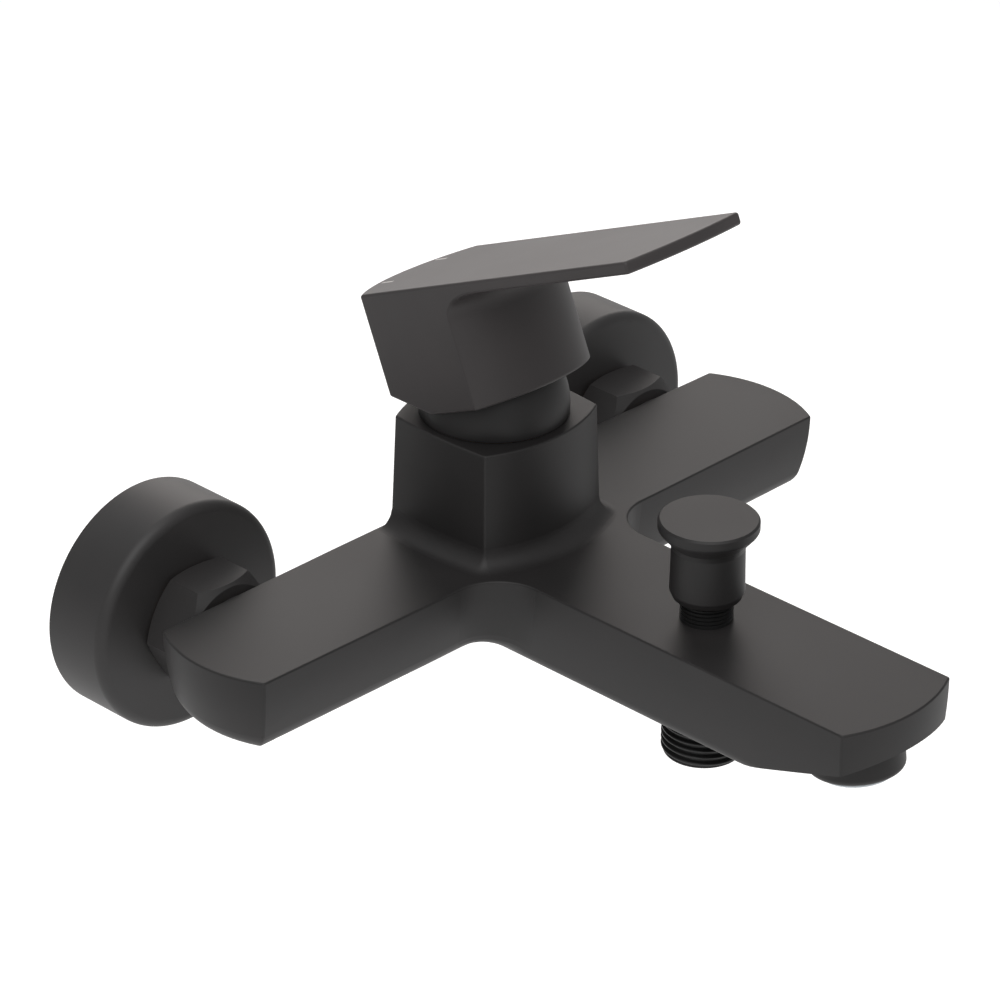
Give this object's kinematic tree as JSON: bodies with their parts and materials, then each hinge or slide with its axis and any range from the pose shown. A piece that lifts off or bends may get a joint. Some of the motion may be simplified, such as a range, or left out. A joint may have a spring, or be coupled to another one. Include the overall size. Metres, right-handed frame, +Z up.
{
  "type": "wall mounted bath mixer",
  "caption": "Matte black wall mounted single lever bath faucet with a flat T-shaped body, round rosettes, a pull-up diverter knob and a shower hose outlet below the spout.",
  "frame": {"origin": "midway between the two threaded wall tails, on the wall plane", "axes": "+Z up, +X to the right seen by someone facing the wall, -Y out of the wall along the spout, so +Y is along the tails into the wall"},
  "size_m": [0.2104, 0.2032, 0.1413],
  "materials": {
    "satin_black": "satin",
    "dark_metal": "satin",
    "pale_mark": "matte",
    "brass": "machined",
    "steel": "bright",
    "ceramic": "ground",
    "grey_plastic": "moulded",
    "white_plastic": "moulded",
    "black_rubber": "matte"
  },
  "bodies": {
    "mixer": {"faucet_body": "satin_black", "valve_base": "white_plastic", "seal_hot": "black_rubber", "seal_cold": "black_rubber", "seal_mixed": "black_rubber", "fixed_disc": "ceramic", "valve_housing": "white_plastic", "ring_nut": "brass", "dome_cap": "satin_black", "diverter_bush": "dark_metal", "shower_outlet": "dark_metal", "aerator_ring": "satin_black", "aerator_insert": "grey_plastic", "aerator_seal": "black_rubber", "wall_union_left": "brass", "wall_union_right": "brass", "union_nut_left": "satin_black", "union_nut_right": "satin_black", "inlet_tail_left": "brass", "inlet_tail_right": "brass", "union_washer_left": "black_rubber", "union_washer_right": "black_rubber", "strainer_left": "steel", "strainer_right": "steel", "rosette_left": "satin_black", "rosette_right": "satin_black"},
    "turret_group": {"turret": "white_plastic", "pivot_pin": "steel"},
    "lever": {"handle": "satin_black", "index_marks": "pale_mark", "lever_stem": "steel", "set_screw": "steel", "screw_plug": "dark_metal"},
    "slider": {"moving_disc": "ceramic", "disc_carrier": "white_plastic"},
    "diverter": {"diverter_stem": "brass", "diverter_knob": "satin_black", "upper_washer": "black_rubber", "lower_washer": "black_rubber", "diverter_spring": "steel"}
  },
  "joints": [
    {"name": "lever_turn", "type": "hinge", "parent": "mixer", "child": "turret_group", "pos_m": [0, -0.0506, 0.0503], "axis": [0, 0, 1], "range_deg": [-45, 45]},
    {"name": "lever_lift", "type": "hinge", "parent": "turret_group", "child": "lever", "pos_m": [0, -0.0506, 0.0503], "axis": [1, 0, 0], "range_deg": [0, 23.7]},
    {"name": "disc_slide", "type": "slide", "parent": "turret_group", "child": "slider", "axis": [0, 1, 0], "range_m": [0, 0.006]},
    {"name": "diverter_lift", "type": "slide", "parent": "mixer", "child": "diverter", "axis": [0, 0, 1], "range_m": [0, 0.0058], "stiffness_N_per_m": 300, "springref_m": -0.002, "deforming": ["diverter_spring"]}
  ],
  "couplings": [
    {"joint": "disc_slide", "follows": "lever_lift", "m_per_rad": 0.013993}
  ]
}
